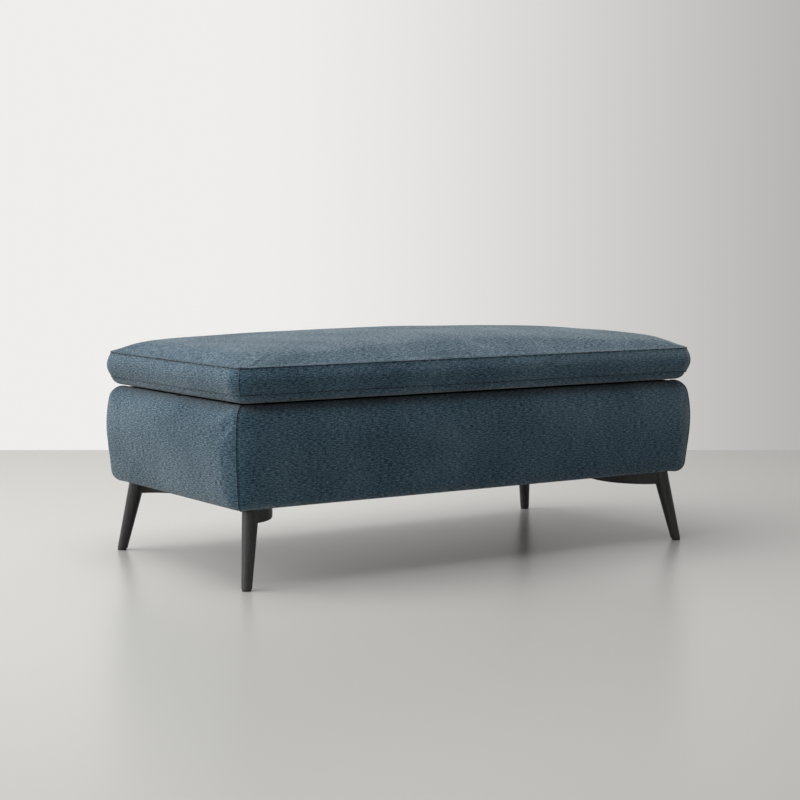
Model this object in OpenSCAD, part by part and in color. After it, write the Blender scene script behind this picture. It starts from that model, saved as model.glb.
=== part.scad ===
// Upholstered storage ottoman: a padded timber box on four splayed legs, with a hinged, domed lid cushion.
// Origin: centre of the footprint, on the ground. +X along the length, +Y to the hinged back, +Z up.

/* [Timber box] */
// Outside length of the timber box
box_l = 1110; // [900:10:1400]
// Outside depth of the timber box
box_d = 536; // [420:4:700]
// Height of the timber box
box_h = 200; // [160:5:320]
// Height of the underside of the timber box above the ground
box_z = 160; // [110:5:220]
// Thickness of the front, back and end panels
panel_t = 15; // [12:1:22]
// Thickness of the floor panel
floor_t = 9; // [6:1:15]
// Height of the blocks, cleats and rails under the floor panel
rail_h = 25; // [20:1:35]
// Width of the cleats along the walls
cleat_w = 20; // [15:1:30]
// Width of the cross rails
cross_w = 40; // [30:1:60]
// Side of each square leg block
block_w = 130; // [115:1:150]

/* [Body upholstery] */
// Thickness of the covering cloth with its backing
cloth_t = 2; // [1.5:0.5:3]
// Distance from the box panels to the padded side, without its belly
pad_t = 30; // [24:1:40]
// Belly of the padded sides
belly = 12; // [4:1:20]
// Radius over the top edge of the padded body
top_edge_r = 24; // [14:1:28]
// Radius under the bottom edge of the padded body
bottom_edge_r = 20; // [8:1:22]
// Thickness of the thin linings
lining_t = 1; // [0.8:0.1:1.5]

/* [Lid cushion] */
// How far the lid seams stand out past the timber box, at the ends
seam_out_x = 23; // [15:1:35]
// How far the lid seams stand out past the timber box, at front and back
seam_out_y = 32; // [25:1:40]
// Corner radius of the lid at its seams
lid_corner_r = 30; // [20:1:60]
// Height of the boxing strip between the two seams
boxing_h = 52; // [35:1:90]
// Belly of the boxing strip
boxing_belly = 11; // [3:1:16]
// Height of the crown above the top seam
crown_h = 44; // [15:1:60]
// Height of the rolled edge below the bottom seam
roll_h = 18; // [15:1:25]
// How far the rolled edge turns in under the lid
roll_in = 25; // [18:1:30]
// Thickness of the lid board
board_t = 12; // [9:1:15]
// Gap between the top of the body and the underside of the lid
lid_gap = 4.2; // [4:0.1:6]

/* [Legs] */
// Distance of each foot in from the end of the timber box, negative when it stands outside
foot_in_x = -1; // [-20:1:20]
// Distance of each foot in from the front or back of the timber box
foot_in_y = -17; // [-30:1:20]
// How far each leg leans in along the length, from foot to top
lean_x = 26; // [0:1:50]
// How far each leg leans in along the depth, from foot to top
lean_y = 29; // [0:1:50]
// Leg diameter at the foot
foot_d = 21; // [16:1:30]
// Leg diameter at the top
leg_top_d = 34; // [28:1:45]
// Thickness of each glide
glide_h = 4; // [3:1:8]
// Reach of each leg arm along the length
arm_x = 102; // [85:1:150]
// Reach of each leg arm along the depth
arm_y = 209; // [130:1:220]
// Depth of each leg arm at the leg
arm_h = 29; // [22:1:40]
// Width of each leg arm at the leg
arm_w = 24; // [20:1:30]
// Width of each leg arm at its tip
arm_tip_w = 15; // [12:1:20]

/* [Hinges] */
// Length of each hinge
hinge_l = 60; // [40:5:100]
// Distance of each hinge from the middle of the box
hinge_x = 350; // [200:10:420]
// Number of knuckles in each hinge
knuckles = 5; // [3:2:9]
// Radius of the hinge knuckles
knuckle_r = 4; // [3:0.5:4.5]
// Radius of the hinge pins
pin_r = 1.5; // [1:0.1:2]
// Thickness of the hinge leaves
leaf_t = 1.5; // [1:0.1:1.7]
// Screws along each hinge leaf
leaf_screws = 3; // [2:1:5]

/* [Fasteners] */
// Radius of the hinge screws
hinge_screw_r = 1.75; // [1.5:0.25:2]
// Length of the hinge screws
hinge_screw_l = 13; // [10:1:14]
// Radius of the arm screws
arm_screw_r = 2.5; // [2:0.25:3]
// How far the arm screws go up into the leg blocks
arm_screw_bite = 18; // [12:1:22]
// Radius of the dowels between legs and arms
dowel_r = 5; // [4:0.5:6]
// Length of those dowels
dowel_l = 36; // [30:1:44]
// Radius of the rubber bumpers
bumper_r = 5; // [3:0.5:5]

/* [Hidden] */

// Running clearance of pins and screws, and the slack between joined boards
fit_gap = 0.05;
board_gap = 0.5;
// Gap left between the lid and what it closes on
rest_gap = 0.3;
$fn = 64;

// Heights, from the ground up
panel_top = box_z + box_h;
body_top = panel_top + cloth_t;
body_bottom = box_z - cloth_t;
frame_top = body_bottom - lining_t;
floor_z = box_z + rail_h;
storage_z = floor_z + floor_t;
lid_bottom = body_top + lid_gap;
hem_z = lid_bottom + lining_t;
board_z = hem_z + cloth_t;
board_top = board_z + board_t;
low_seam_z = hem_z + roll_h;
top_seam_z = low_seam_z + boxing_h;

// Half sizes in plan
half_l = box_l / 2;
half_d = box_d / 2;
seam_x = half_l + seam_out_x;
seam_y = half_d + seam_out_y;
// The padded body is a profile swept round a smaller rectangle, whose corners are the centres of its own
core_in = 10;
core_x = half_l - core_in;
core_y = half_d - core_in;
// Where the covering cloth ends: on the top edge of the panels, and under them
top_hem_p = 5;
low_hem_p = 1;

// Names for the four corners, as signs of X and Y
FRONT_LEFT = [-1, -1];
FRONT_RIGHT = [1, -1];
BACK_LEFT = [-1, 1];
BACK_RIGHT = [1, 1];
CORNERS = [FRONT_LEFT, FRONT_RIGHT, BACK_LEFT, BACK_RIGHT];
wood_black = "#1d1a19";
cloth_blue = "#5b7c8d";
lining_black = "#2b2b2d";
timber = "#c9a777";
foam_cream = "#efe6c8";
steel = "#b8b8b8";
glide_black = "#151515";
rubber_black = "#202020";

// ---- Timber box ----

module board(x0, x1, y0, y1, z0, z1) {
    translate([x0, y0, z0])
        cube([x1 - x0, y1 - y0, z1 - z0]);
}

module long_panel(side) {
    color(timber)
        difference() {
            translate([-half_l, side > 0 ? half_d - panel_t : -half_d, box_z])
                cube([box_l, panel_t, box_h]);
            if (side > 0)
                hinge_screw_holes(box_screw_y, panel_top);
        }
}

module end_panel(side) {
    inner_d = box_d - 2 * panel_t;
    color(timber)
        translate([side > 0 ? half_l - panel_t : -half_l, -inner_d / 2, box_z])
            cube([panel_t, inner_d, box_h]);
}

inside_x = half_l - panel_t;
inside_y = half_d - panel_t;

// One square block fills each corner under the floor, and takes the screws of one leg arm
module leg_block(c) {
    color(timber)
        difference() {
            translate([c[0] * (inside_x - block_w / 2), c[1] * (inside_y - block_w / 2), box_z + rail_h / 2])
                cube([block_w, block_w, rail_h], center = true);
            arm_screw_shanks(c, arm_screw_r + fit_gap);
        }
}

module long_cleat(side) {
    reach = inside_x - block_w - board_gap;
    color(timber)
        translate([-reach, side > 0 ? inside_y - cleat_w : -inside_y, box_z])
            cube([2 * reach, cleat_w, rail_h]);
}

module end_cleat(side) {
    reach = inside_y - block_w - board_gap;
    color(timber)
        translate([side > 0 ? inside_x - cleat_w : -inside_x, -reach, box_z])
            cube([cleat_w, 2 * reach, rail_h]);
}

module cross_rail(side) {
    reach = inside_y - cleat_w - board_gap;
    color(timber)
        translate([side * box_l / 6 - cross_w / 2, -reach, box_z])
            cube([cross_w, 2 * reach, rail_h]);
}

module floor_panel() {
    color(timber)
        board(board_gap - inside_x, inside_x - board_gap, board_gap - inside_y, inside_y - board_gap,
            floor_z, storage_z);
}

// Cloth lining of the storage space: four walls and a bottom
module storage_lining() {
    color(lining_black)
        difference() {
            board(-inside_x, inside_x, -inside_y, inside_y, storage_z, panel_top);
            board(lining_t - inside_x, inside_x - lining_t, lining_t - inside_y, inside_y - lining_t,
                storage_z + lining_t, panel_top + lining_t);
        }
}

// Thin black sheet stapled under the box, between it and the leg arms
module dust_cover() {
    color(lining_black)
        difference() {
            board(-half_l, half_l, -half_d, half_d, frame_top, body_bottom);
            for (c = CORNERS)
                arm_screw_shanks(c, arm_screw_r + fit_gap);
        }
}

// ---- Body upholstery ----

// How far a rounded edge of radius r has cut back at a height of d from its end
function edge_cut(d, r) = d >= r ? 0 : r - sqrt(r * r - pow(r - d, 2));

// The belly is widest above the middle of the side: its sine arch runs over a power of the height
belly_lift = 1.36;
profile_steps = 24;
// Outside of the padded side, measured out from the core rectangle, at the fraction t of its height
function side_z(i) = (1 - cos(180 * i / profile_steps)) / 2;
function side_p(t) =
    let (h = body_top - body_bottom, z = t * h)
    core_in + pad_t + belly * sin(180 * pow(t, belly_lift))
        - edge_cut(z, bottom_edge_r) - edge_cut(h - z, top_edge_r);
function outer_side() = [
    for (i = [0:profile_steps])
        [side_p(side_z(i)), body_bottom + side_z(i) * (body_top - body_bottom)]
];
function inner_side() = [
    for (i = [0:profile_steps])
        [side_p(side_z(i)) - cloth_t, box_z + side_z(i) * box_h]
];
function backwards(list) = [for (i = [len(list) - 1:-1:0]) list[i]];

module cover_profile() {
    polygon(concat(outer_side(), [[top_hem_p, body_top], [top_hem_p, panel_top]],
        backwards(inner_side()), [[low_hem_p, box_z], [low_hem_p, body_bottom]]));
}

module padding_profile() {
    polygon(concat([[low_hem_p, box_z]], inner_side(), [[low_hem_p, panel_top]]));
}

// Straight stretch of a swept profile: turn 0 is the right end, 1 the back, 2 the left end, 3 the front
module stretch(turn) {
    out = turn % 2 == 0 ? core_x : core_y;
    along = turn % 2 == 0 ? core_y : core_x;
    rotate([0, 0, 90 * turn])
        translate([out, 0, 0])
            rotate([90, 0, 0])
                linear_extrude(2 * along, center = true)
                    children();
}

// Quarter turn of a swept profile: turn 0 joins the right end to the back
module quarter(turn) {
    sx = turn == 0 || turn == 3 ? 1 : -1;
    sy = turn < 2 ? 1 : -1;
    translate([sx * core_x, sy * core_y, 0])
        rotate([0, 0, 90 * turn])
            rotate_extrude(angle = 90)
                children();
}

// The space that the timber box takes out of the pads, cut a little past their top and bottom
module timber_block() {
    over = 1;
    translate([-half_l, -half_d, box_z - over])
        cube([box_l, box_d, box_h + 2 * over]);
}

module long_padding(turn) {
    color(foam_cream)
        difference() {
            stretch(turn)
                padding_profile();
            timber_block();
        }
}

// The end pads wrap round both corners
module end_padding(turn) {
    color(foam_cream)
        difference() {
            union() {
                stretch(turn)
                    padding_profile();
                quarter(turn)
                    padding_profile();
                quarter((turn + 3) % 4)
                    padding_profile();
            }
            timber_block();
        }
}

module body_cover() {
    color(cloth_blue)
        for (turn = [0:3]) {
            stretch(turn)
                cover_profile();
            quarter(turn)
                cover_profile();
        }
}

// ---- Legs ----

lean = norm([lean_x, lean_y]);
leg_h = frame_top;
leg_tilt = atan(lean / leg_h);
function foot_at(c) = [c[0] * (half_l - foot_in_x), c[1] * (half_d - foot_in_y)];
function leg_top_at(c) = foot_at(c) - [c[0] * lean_x, c[1] * lean_y];

// Room for glue past both ends of a dowel together
dowel_room = 1;

// Straight round taper along the leaning axis, longer than the leg at both ends
module leg_taper(c) {
    over = 20;
    slope = (leg_top_d - foot_d) / 2 / (leg_h / cos(leg_tilt));
    translate([foot_at(c)[0], foot_at(c)[1], 0])
        rotate([0, leg_tilt, atan2(-c[1] * lean_y, -c[0] * lean_x)])
            rotate([0, 0, 180])
                translate([0, 0, -over])
                    cylinder(h = leg_h / cos(leg_tilt) + 2 * over, r1 = foot_d / 2 - slope * over,
                        r2 = leg_top_d / 2 + slope * over);
}

module leg(c) {
    color(wood_black)
        difference() {
            intersection() {
                leg_taper(c);
                translate([foot_at(c)[0] - leg_h, foot_at(c)[1] - leg_h, glide_h])
                    cube([2 * leg_h, 2 * leg_h, leg_h - glide_h]);
            }
            leg_dowel(c, dowel_r + fit_gap, dowel_l + dowel_room);
        }
}

// A glide stands a little inside the edge of its foot
glide_in = 1;
module glide(c) {
    color(glide_black)
        translate([foot_at(c)[0], foot_at(c)[1], 0])
            cylinder(h = glide_h, r = foot_d / 2 - glide_in);
}

// Plan of an arm: a curve that leaves the leg diagonally and bends towards the depth
arm_stations = 14;
arm_bend = [90, 11];
arm_end = [arm_x, arm_y];
function arm_at(t) = 2 * t * (1 - t) * arm_bend + t * t * arm_end;
function arm_way(t) =
    let (v = 2 * (1 - 2 * t) * arm_bend + 2 * t * arm_end)
    v / norm(v);
// The lower edge is level near the leg, then rises to the tip, ever more steeply
level_t = 0.37;
arm_tip_h = 8;
arm_rise = 3.6;
function arm_depth(t) = t < level_t ? arm_h
    : arm_h - (arm_h - arm_tip_h) * pow((t - level_t) / (1 - level_t), arm_rise);
function arm_half(t) = (arm_w + (arm_tip_w - arm_w) * t) / 2;

// One cross-section: flat on top, rounded along both lower edges
arm_edge_r = 4;
edge_steps = 4;
function arm_section(t) =
    let (h = arm_depth(t), w = arm_half(t), r = min(arm_edge_r, 0.8 * h), p = arm_at(t),
        n = [-arm_way(t)[1], arm_way(t)[0]])
    [for (side = [1, -1])
        for (i = [0:edge_steps + 1])
            let (k = side > 0 ? i : edge_steps + 1 - i, a = 90 * (k - 1) / edge_steps,
                out = k == 0 ? w : w - r + r * cos(a), down = k == 0 ? 0 : h - r + r * sin(a))
            [p[0] + side * out * n[0], p[1] + side * out * n[1], -down]];

module arm_solid() {
    m = 2 * (edge_steps + 2);
    points = [for (k = [0:arm_stations]) each arm_section(k / arm_stations)];
    skin = [for (k = [0:arm_stations - 1]) for (i = [0:m - 1])
        let (j = (i + 1) % m, a = k * m, b = a + m)
        each [[a + i, b + i, b + j], [a + i, b + j, a + j]]];
    first = [for (i = [0:m - 1]) i];
    last = [for (i = [m - 1:-1:0]) arm_stations * m + i];
    polyhedron(points, concat(skin, [first, last]), convexity = 4);
}

// Moves a child drawn in the arm's own quarter, where +X and +Y point inwards, to its corner
module at_leg(c) {
    translate([leg_top_at(c)[0], leg_top_at(c)[1], frame_top])
        mirror([c[0] > 0 ? 1 : 0, 0, 0])
            mirror([0, c[1] > 0 ? 1 : 0, 0])
                children();
}

// Where the screws stand along an arm, and how deep their heads are let in
arm_screw_ts = [0.36, 0.7];
screw_head_r = 5;
screw_head_h = 3;
head_sink = 6;
function arm_screw_z(t) = head_sink - arm_depth(t);

module arm_screw_shanks(c, r) {
    at_leg(c)
        for (t = arm_screw_ts)
            translate([arm_at(t)[0], arm_at(t)[1], arm_screw_z(t)])
                cylinder(h = lining_t + cloth_t + arm_screw_bite - arm_screw_z(t), r = r);
}

module leg_arm(c) {
    color(wood_black)
        difference() {
            at_leg(c)
                arm_solid();
            leg_taper(c);
            leg_dowel(c, dowel_r + fit_gap, dowel_l + dowel_room);
            arm_screw_shanks(c, arm_screw_r + fit_gap);
            at_leg(c)
                for (t = arm_screw_ts)
                    translate([arm_at(t)[0], arm_at(t)[1], -2 * arm_h])
                        cylinder(h = 2 * arm_h + arm_screw_z(t) + screw_head_h, r = screw_head_r + fit_gap);
        }
}

module arm_screws() {
    color(steel)
        for (c = CORNERS) {
            arm_screw_shanks(c, arm_screw_r);
            at_leg(c)
                for (t = arm_screw_ts)
                    translate([arm_at(t)[0], arm_at(t)[1], arm_screw_z(t)])
                        cylinder(h = screw_head_h, r = screw_head_r);
        }
}

// A wooden dowel joins each leg to its arm. It is level and aims at the middle of the arm's width
// at this station.
dowel_t = 0.2;
module leg_dowel(c, r, l) {
    aim = arm_at(dowel_t);
    at_leg(c)
        translate([0, 0, -arm_h / 2])
            rotate([0, 90, atan2(aim[1], aim[0])])
                translate([0, 0, leg_top_d / 2])
                    cylinder(h = l, r = r, center = true);
}

module leg_dowels() {
    color(timber)
        for (c = CORNERS)
            leg_dowel(c, dowel_r, dowel_l);
}

// ---- Hinges ----

hinge_z = (body_top + lid_bottom) / 2;
hinge_in = 5;
hinge_y = half_d + pad_t - hinge_in;
// Gap between the end of a leaf and the other leaf's knuckles
leaf_clear = 0.4;
leaf_end_y = hinge_y - knuckle_r - leaf_clear;
knuckle_gap = 0.3;
knuckle_l = hinge_l / knuckles;
// The screws stand near the middle of the panel's edge, and well inside the edge of the lid board
box_screw_shift = 2;
lid_screw_in = 21;
box_screw_y = half_d - panel_t / 2 - box_screw_shift;
lid_screw_y = half_d - lid_screw_in;
leaf_margin = 5;
leaf_head_r = 3.4;
// How far the web of a knuckle laps over its leaf
web_lap = 1;

// Knuckles of one leaf: even or odd places along the hinge, each with its web to the leaf
module hinge_knuckles(first, leaf_z) {
    difference() {
        for (i = [first:2:knuckles - 1])
            translate([-hinge_l / 2 + i * knuckle_l + knuckle_gap / 2, 0, 0]) {
                translate([0, hinge_y, hinge_z])
                    rotate([0, 90, 0])
                        cylinder(h = knuckle_l - knuckle_gap, r = knuckle_r);
                translate([0, leaf_end_y - web_lap, leaf_z])
                    cube([knuckle_l - knuckle_gap, hinge_y - leaf_end_y + web_lap, leaf_t]);
            }
        translate([-hinge_l, hinge_y, hinge_z])
            rotate([0, 90, 0])
                cylinder(h = 2 * hinge_l, r = pin_r + fit_gap);
    }
}

function screw_x(i) = (i - (leaf_screws - 1) / 2) * hinge_l / leaf_screws;

// Screw with a countersunk head at z = 0, pointing down
module hinge_screw(gap) {
    translate([0, 0, -leaf_t])
        cylinder(h = leaf_t, r1 = hinge_screw_r + gap, r2 = leaf_head_r + gap);
    translate([0, 0, -hinge_screw_l])
        cylinder(h = hinge_screw_l - leaf_t / 2, r = hinge_screw_r + gap);
}

module hinge_screw_holes(y, z) {
    for (side = [-1, 1])
        for (i = [0:leaf_screws - 1])
            translate([side * hinge_x + screw_x(i), y, z - 2 * hinge_screw_l])
                cylinder(h = 4 * hinge_screw_l, r = hinge_screw_r + fit_gap);
}

module box_leaf(side) {
    color(steel)
        translate([side * hinge_x, 0, 0])
            difference() {
                union() {
                    hinge_knuckles(0, body_top);
                    translate([-hinge_l / 2, box_screw_y - leaf_margin, body_top])
                        cube([hinge_l, leaf_end_y - box_screw_y + leaf_margin, leaf_t]);
                }
                for (i = [0:leaf_screws - 1])
                    translate([screw_x(i), box_screw_y, body_top + leaf_t])
                        hinge_screw(fit_gap);
            }
}

module lid_leaf(side) {
    leaf_z = lid_bottom - leaf_t;
    color(steel)
        translate([side * hinge_x, 0, 0])
            difference() {
                union() {
                    hinge_knuckles(1, leaf_z);
                    translate([-hinge_l / 2, lid_screw_y - leaf_margin, leaf_z])
                        cube([hinge_l, leaf_end_y - lid_screw_y + leaf_margin, leaf_t]);
                }
                for (i = [0:leaf_screws - 1])
                    translate([screw_x(i), lid_screw_y, leaf_z])
                        mirror([0, 0, 1])
                            hinge_screw(fit_gap);
            }
}

module hinge_pin(side) {
    color(steel)
        translate([side * hinge_x - hinge_l / 2, hinge_y, hinge_z])
            rotate([0, 90, 0])
                cylinder(h = hinge_l, r = pin_r);
}

module hinge_box_screws() {
    color(steel)
        for (side = [-1, 1])
            for (i = [0:leaf_screws - 1])
                translate([side * hinge_x + screw_x(i), box_screw_y, body_top + leaf_t])
                    hinge_screw(0);
}

module hinge_lid_screws() {
    color(steel)
        for (side = [-1, 1])
            for (i = [0:leaf_screws - 1])
                translate([side * hinge_x + screw_x(i), lid_screw_y, lid_bottom - leaf_t])
                    mirror([0, 0, 1])
                        hinge_screw(0);
}

// Four rubber bumpers on the top edge of the body
module bumpers() {
    out = (top_hem_p + core_in + pad_t - top_edge_r) / 2;
    h = lid_gap - rest_gap;
    color(rubber_black)
        for (side = [-1, 1]) {
            translate([side * hinge_x, -core_y - out, body_top])
                cylinder(h = h, r = bumper_r);
            translate([side * (core_x + out), 0, body_top])
                cylinder(h = h, r = bumper_r);
        }
}

// ---- Lid ----

ring_steps = 8;

// Corner radius in plan, at e outside the seam rectangle: it grows both outwards and inwards
function corner_r(e) = lid_corner_r + (e > 0 ? e : -e / 2);

// Rounded rectangle in plan, at e outside the seam rectangle, as one ring of points. Its corner
// radius stays under this share of its half depth.
round_limit = 0.95;
function ring(e, z) =
    let (hx = seam_x + e, hy = seam_y + e, r = min(corner_r(e), round_limit * hy))
    [for (q = [0:3])
        for (i = [0:ring_steps])
            let (a = 90 * (q + i / ring_steps), sx = q == 0 || q == 3 ? 1 : -1, sy = q < 2 ? 1 : -1)
            [sx * (hx - r) + r * cos(a), sy * (hy - r) + r * sin(a), z]];

// Closed solid through a stack of rings, with a flat face over the first and the last
module ring_solid(rings) {
    m = len(rings[0]);
    n = len(rings);
    points = [for (r = rings) each r];
    skin = [for (k = [0:n - 2]) for (i = [0:m - 1])
        let (j = (i + 1) % m, a = k * m, b = a + m)
        each [[a + i, b + i, b + j], [a + i, b + j, a + j]]];
    polyhedron(points, concat(skin, [[for (i = [0:m - 1]) i], [for (i = [m - 1:-1:0]) (n - 1) * m + i]]),
        convexity = 6);
}

// Angle round the inner rolled edge at which the board's top is reached
board_angle = acos((low_seam_z - board_top) / (roll_h - cloth_t));
low_angles = [0, board_angle / 3, 2 * board_angle / 3, board_angle, 90];
boxing_steps = 6;
// The crown rises over this share of the half depth, by a power that makes it steep at the seam.
// Its rings crowd together there.
crown_steps = 9;
crown_share = 0.95;
crown_power = 4;
crown_crowding = 1.5;
function crown_rise(d) = crown_h * (1 - pow(1 - d / seam_y, crown_power));
function crown_d(i) = crown_share * seam_y * pow(i / crown_steps, crown_crowding);

function roll_rings(t, from) = [
    for (i = [from:len(low_angles) - 1])
        let (a = low_angles[i])
        ring(-roll_in + (roll_in - t) * sin(a), low_seam_z - (roll_h - t) * cos(a))
];
function boxing_rings(t) = [
    for (i = [1:boxing_steps])
        let (s = i / boxing_steps)
        ring(4 * boxing_belly * s * (1 - s) - t, low_seam_z + boxing_h * s - t * s)
];
function crown_rings(t) = [
    for (i = [1:crown_steps])
        ring(-t - crown_d(i), top_seam_z - t + crown_rise(crown_d(i)))
];

// The board stands a little inside the start of the roll
board_in = 1;
module lid_board() {
    color(timber)
        difference() {
            ring_board(-roll_in - board_in, board_z, board_top);
            hinge_screw_holes(lid_screw_y, board_z);
        }
}

// Flat board or sheet with rounded corners, at e outside the seam rectangle
module ring_board(e, z0, z1) {
    r = corner_r(e);
    translate([0, 0, z0])
        linear_extrude(z1 - z0) {
            square([2 * (seam_x + e - r), 2 * (seam_y + e)], center = true);
            square([2 * (seam_x + e), 2 * (seam_y + e - r)], center = true);
            for (c = CORNERS)
                translate([c[0] * (seam_x + e - r), c[1] * (seam_y + e - r)])
                    circle(r = r);
        }
}

module lid_foam() {
    color(foam_cream)
        ring_solid(concat(roll_rings(cloth_t, 3), boxing_rings(cloth_t), crown_rings(cloth_t)));
}

// The cover turns in under the board as a narrow hem
lid_hem = 16;
module lid_cover() {
    color(cloth_blue)
        ring_solid(concat(
            backwards(concat(roll_rings(cloth_t, 0), boxing_rings(cloth_t), crown_rings(cloth_t))),
            [ring(-roll_in - lid_hem, board_z), ring(-roll_in - lid_hem, hem_z)],
            roll_rings(0, 0), boxing_rings(0), crown_rings(0)));
}

module lid_lining() {
    color(lining_black)
        difference() {
            ring_board(-roll_in - lid_hem / 2, lid_bottom, hem_z);
            hinge_screw_holes(lid_screw_y, lid_bottom);
        }
}

long_panel(-1);  // front_panel
long_panel(1);  // back_panel
end_panel(-1);  // left_panel
end_panel(1);  // right_panel
leg_block(FRONT_LEFT);  // leg_block_front_left
leg_block(FRONT_RIGHT);  // leg_block_front_right
leg_block(BACK_LEFT);  // leg_block_back_left
leg_block(BACK_RIGHT);  // leg_block_back_right
long_cleat(-1);  // front_cleat
long_cleat(1);  // back_cleat
end_cleat(-1);  // left_cleat
end_cleat(1);  // right_cleat
cross_rail(-1);  // left_cross_rail
cross_rail(1);  // right_cross_rail
floor_panel();
long_padding(3);  // front_padding
long_padding(1);  // back_padding
end_padding(2);  // left_padding
end_padding(0);  // right_padding
body_cover();
storage_lining();
dust_cover();
leg(FRONT_LEFT);  // leg_front_left
leg(FRONT_RIGHT);  // leg_front_right
leg(BACK_LEFT);  // leg_back_left
leg(BACK_RIGHT);  // leg_back_right
leg_arm(FRONT_LEFT);  // leg_arm_front_left
leg_arm(FRONT_RIGHT);  // leg_arm_front_right
leg_arm(BACK_LEFT);  // leg_arm_back_left
leg_arm(BACK_RIGHT);  // leg_arm_back_right
glide(FRONT_LEFT);  // glide_front_left
glide(FRONT_RIGHT);  // glide_front_right
glide(BACK_LEFT);  // glide_back_left
glide(BACK_RIGHT);  // glide_back_right
leg_dowels();
arm_screws();
bumpers();
box_leaf(-1);  // left_hinge_box_leaf
box_leaf(1);  // right_hinge_box_leaf
hinge_pin(-1);  // left_hinge_pin
hinge_pin(1);  // right_hinge_pin
hinge_box_screws();
lid_leaf(-1);  // left_hinge_lid_leaf
lid_leaf(1);  // right_hinge_lid_leaf
hinge_lid_screws();
lid_board();
lid_foam();
lid_cover();
lid_lining();
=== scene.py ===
import math

import bmesh
import bpy
import numpy as np
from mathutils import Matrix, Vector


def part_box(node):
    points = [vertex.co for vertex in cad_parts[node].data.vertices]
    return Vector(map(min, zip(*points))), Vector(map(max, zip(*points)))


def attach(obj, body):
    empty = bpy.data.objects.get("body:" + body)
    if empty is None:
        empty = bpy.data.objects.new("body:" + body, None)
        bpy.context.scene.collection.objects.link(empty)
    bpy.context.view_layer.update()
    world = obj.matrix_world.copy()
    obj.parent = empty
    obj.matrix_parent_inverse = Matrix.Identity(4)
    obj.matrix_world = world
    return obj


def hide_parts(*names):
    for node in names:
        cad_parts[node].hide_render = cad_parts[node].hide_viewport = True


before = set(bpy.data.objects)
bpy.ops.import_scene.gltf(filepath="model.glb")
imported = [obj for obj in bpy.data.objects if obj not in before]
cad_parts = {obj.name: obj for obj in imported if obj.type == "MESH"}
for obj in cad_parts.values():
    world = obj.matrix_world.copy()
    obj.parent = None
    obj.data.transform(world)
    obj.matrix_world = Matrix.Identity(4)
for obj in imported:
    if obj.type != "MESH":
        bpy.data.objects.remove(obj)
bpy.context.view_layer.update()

# ---------------------------------------------------------------- Legs and leg arms
# Four turned legs and the four shaped arms that carry them, in solid beech stained black and
# lacquered to a satin. Each leg is dowelled and glued to its arm, and the arm is screwed up
# into a block in the corner of the box. The foot end carries a nailed plastic glide.


def add_node(tree, kind, place=(0, 0), **sockets):
    """A shader node of that kind, with the named input sockets set to plain values."""
    made = tree.nodes.new(kind)
    made.location = place
    for name, value in sockets.items():
        made.inputs[name.replace("_", " ")].default_value = value
    return made


def new_group(name, inputs, outputs):
    """An empty shader node group with named inputs {name: (type, default)} and outputs {name: type}."""
    tree = bpy.data.node_groups.new(name, "ShaderNodeTree")
    for label, (kind, default) in inputs.items():
        socket = tree.interface.new_socket(label, in_out="INPUT", socket_type=kind)
        if default is not None:
            socket.default_value = default
    for label, kind in outputs.items():
        tree.interface.new_socket(label, in_out="OUTPUT", socket_type=kind)
    return tree, tree.nodes.new("NodeGroupInput"), tree.nodes.new("NodeGroupOutput")


def add_math(tree, operation, a, b=None, clamp=False):
    """A Math node. a and b are plain numbers or sockets."""
    made = tree.nodes.new("ShaderNodeMath")
    made.operation = operation
    made.use_clamp = clamp
    for socket, value in zip(made.inputs, (a, b)):
        if value is None:
            continue
        if isinstance(value, (int, float)):
            socket.default_value = value
        else:
            tree.links.new(value, socket)
    return made.outputs[0]


def add_noise(tree, vector, scale, detail=2.0, roughness=0.5):
    """The value of a noise texture, 0 to 1, at that scale of a coordinate socket."""
    made = add_node(tree, "ShaderNodeTexNoise", Scale=scale, Detail=detail, Roughness=roughness)
    tree.links.new(vector, made.inputs["Vector"])
    return made.outputs["Fac"]


def stretched(tree, vector, factors, turn=(0, 0, 0)):
    """A coordinate socket turned and then scaled by three factors, by a Mapping node."""
    made = add_node(tree, "ShaderNodeMapping", Scale=factors, Rotation=turn)
    made.vector_type = "POINT"
    tree.links.new(vector, made.inputs["Vector"])
    return made.outputs["Vector"]


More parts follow.
